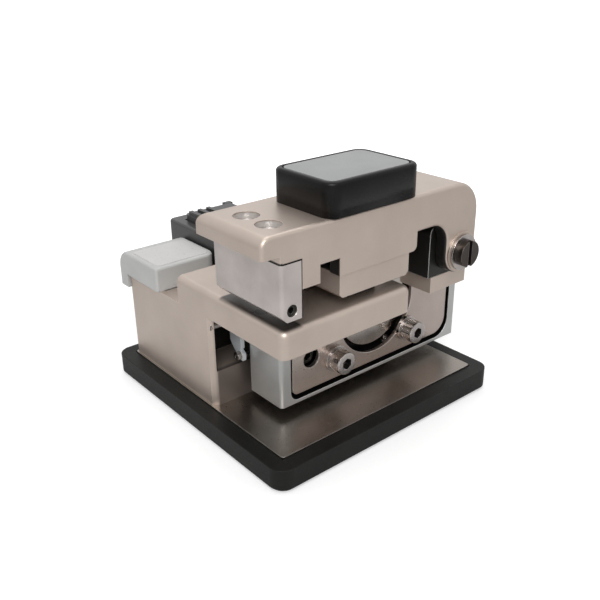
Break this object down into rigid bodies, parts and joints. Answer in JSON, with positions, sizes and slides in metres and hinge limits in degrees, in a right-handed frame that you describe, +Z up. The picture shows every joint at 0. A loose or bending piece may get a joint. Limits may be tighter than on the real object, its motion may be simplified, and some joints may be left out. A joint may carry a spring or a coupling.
{
  "type": "fibre cleaver",
  "caption": "Bench cleaver for optical fibre with a hinged clamp arm, a sliding blade carriage under a cantilever deck and an off-cut bin.",
  "frame": {"origin": "middle of the rubber base's flat underside", "axes": "+X along the fibre line to the right, +Y towards the arm's hinge, +Z up"},
  "size_m": [0.074, 0.0717, 0.062],
  "materials": {
    "rubber": "matt",
    "base_steel": "brushed, dark",
    "champagne": "bead blasted and anodised",
    "slider_grey": "satin",
    "steel": "satin",
    "blade_steel": "ground and polished",
    "black_metal": "satin",
    "black_plastic": "moulded",
    "inlay_grey": "satin film",
    "cover_grey": "smooth",
    "label": "bare film",
    "clamp_rubber": "matt",
    "lever_white": "satin"
  },
  "bodies": {
    "base": {"rubber_base": "rubber", "base_plate": "base_steel", "base_screws": "steel", "main_body": "champagne", "slide_rail": "steel", "rail_screws": "steel", "lower_pads": "clamp_rubber", "keeper_plate": "steel", "collector_housing": "black_plastic", "lid_pin": "steel", "lever_pin": "steel", "hinge_post": "black_metal", "post_screws": "steel", "hinge_pin": "black_metal", "hinge_bushes": "black_metal", "pin_washer": "steel", "pin_retainer": "steel"},
    "arm": {"arm_body": "champagne", "jaw_block": "champagne", "jaw_screws": "steel", "jaw_set_screw": "black_metal", "arm_magnet": "steel", "push_pad": "black_plastic", "pad_inlay": "inlay_grey", "clamp_carrier": "champagne", "carrier_screws": "steel", "upper_pads": "clamp_rubber", "anvil": "steel"},
    "slider": {"slider_frame": "slider_grey", "rail_carriage": "steel", "carriage_screws": "steel", "blade_plate": "champagne", "blade_washers": "steel", "blade_screws": "steel", "height_adjuster": "black_metal", "blade_hub": "steel", "hub_screw": "steel"},
    "blade": {"blade_wheel": "blade_steel"},
    "bin": {"offcut_bin": "cover_grey", "bin_label": "label"},
    "lid": {"collector_lid": "black_plastic"},
    "feed": {"feed_roller": "clamp_rubber"},
    "pinch": {"pinch_roller": "steel"},
    "lever": {"trip_lever": "lever_white", "lever_screw": "black_metal"}
  },
  "joints": [
    {"name": "arm_hinge", "type": "hinge", "parent": "base", "child": "arm", "pos_m": [0.0208, 0.0226, 0.0386], "axis": [-1, 0, 0], "range_deg": [0, 80]},
    {"name": "slider_travel", "type": "slide", "parent": "base", "child": "slider", "axis": [0, -1, 0], "range_m": [0, 0.02]},
    {"name": "blade_index", "type": "hinge", "parent": "slider", "child": "blade", "pos_m": [0.0171, 0.0086, 0.02485], "axis": [1, 0, 0], "continuous": true},
    {"name": "bin_slide", "type": "slide", "parent": "base", "child": "bin", "axis": [-1, 0, 0], "range_m": [0, 0.016]},
    {"name": "lid_hinge", "type": "hinge", "parent": "base", "child": "lid", "pos_m": [-0.0168, 0.0045, 0.0374], "axis": [-1, 0, 0], "range_deg": [0, 75]},
    {"name": "feed_spin", "type": "hinge", "parent": "base", "child": "feed", "pos_m": [-0.003, -0.005, 0.03215], "axis": [0, 1, 0], "continuous": true},
    {"name": "pinch_spin", "type": "hinge", "parent": "lid", "child": "pinch", "pos_m": [-0.003, -0.0045, 0.03665], "axis": [0, 1, 0], "continuous": true},
    {"name": "lever_trip", "type": "hinge", "parent": "base", "child": "lever", "pos_m": [0.0044, -0.0225, 0.0259], "axis": [0, 1, 0], "range_deg": [0, 8], "stiffness_Nm_per_rad": 0.004, "springref_deg": -5.73}
  ]
}
